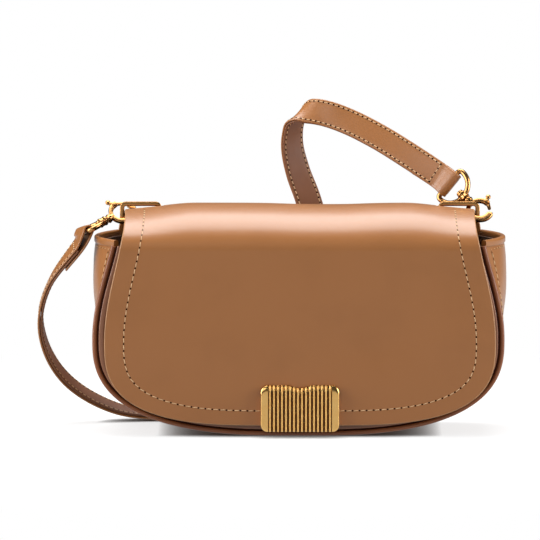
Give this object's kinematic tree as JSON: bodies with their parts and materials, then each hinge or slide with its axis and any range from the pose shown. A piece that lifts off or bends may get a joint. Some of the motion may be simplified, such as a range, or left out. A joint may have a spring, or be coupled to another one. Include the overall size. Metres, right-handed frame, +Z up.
{
  "type": "shoulder bag",
  "caption": "Smooth leather shoulder bag with a rounded fold-over flap, a ribbed metal clasp, snap hooks on swivels and a flat carrying strap.",
  "frame": {"origin": "middle of the flat base, on the surface that the bag stands on", "axes": "+Z up, the flap and clasp face -Y, +X to the right seen from the front"},
  "size_m": [0.2838, 0.1122, 0.1964],
  "materials": {
    "leather": "smooth semi-gloss",
    "leather_edge": "painted edge, satin",
    "lining": "matt cotton twill",
    "board": "pressed fibre board, matt",
    "gold_metal": "polished",
    "steel": "stamped, satin"
  },
  "bodies": {
    "bag": {"front_panel": "leather", "back_panel": "leather", "gusset": "leather", "gusset_rim_left": "leather_edge", "gusset_rim_right": "leather_edge", "front_edge_binding": "leather_edge", "back_edge_binding": "leather_edge", "body_lining": "lining", "base_stiffener": "board", "snap_washer": "steel", "body_magnet": "gold_metal", "ring_tab_left": "leather", "ring_tab_right": "leather"},
    "flap": {"flap_leather": "leather", "flap_lining": "lining", "clasp_plate": "gold_metal", "clasp_washer": "steel", "flap_magnet": "gold_metal"},
    "strap": {"strap_ring_left": "gold_metal", "strap_ring_right": "gold_metal", "d_ring_left": "gold_metal", "d_ring_right": "gold_metal", "strap_face": "leather", "strap_backing": "leather"},
    "hook_left": {"hook_body_left": "gold_metal", "gate_rivet_left": "gold_metal", "swivel_pin_left": "gold_metal"},
    "hook_right": {"hook_body_right": "gold_metal", "gate_rivet_right": "gold_metal", "swivel_pin_right": "gold_metal"},
    "gate_left": {"hook_gate_left": "gold_metal"},
    "gate_right": {"hook_gate_right": "gold_metal"}
  },
  "joints": [
    {"name": "flap_hinge", "type": "hinge", "parent": "bag", "child": "flap", "pos_m": [0, 0, 0.1363], "axis": [-1, 0, 0], "range_deg": [0, 110]},
    {"name": "strap_swing", "type": "hinge", "parent": "bag", "child": "strap", "pos_m": [0, 0.004, 0.1255], "axis": [1, 0, 0], "range_deg": [0, 12]},
    {"name": "hook_swivel_left", "type": "hinge", "parent": "strap", "child": "hook_left", "pos_m": [-0.10753, 0.00478, 0.13112], "axis": [-0.8358, -0.3674, -0.408], "range_deg": [-5, 25]},
    {"name": "hook_swivel_right", "type": "hinge", "parent": "strap", "child": "hook_right", "pos_m": [0.10835, 0.00431, 0.1326], "axis": [-0.682, 0.4894, 0.5435], "range_deg": [-8, 10]},
    {"name": "hook_gate_left", "type": "hinge", "parent": "hook_left", "child": "gate_left", "pos_m": [-0.11226, 0.00814, 0.13485], "axis": [0, 0.7431, -0.6691], "range_deg": [0, 20], "stiffness_Nm_per_rad": 0.004, "springref_deg": -5.73},
    {"name": "hook_gate_right", "type": "hinge", "parent": "hook_right", "child": "gate_right", "pos_m": [0.11251, 0.008, 0.13669], "axis": [0, 0.7431, -0.6691], "range_deg": [0, 20], "stiffness_Nm_per_rad": 0.004, "springref_deg": -5.73}
  ]
}
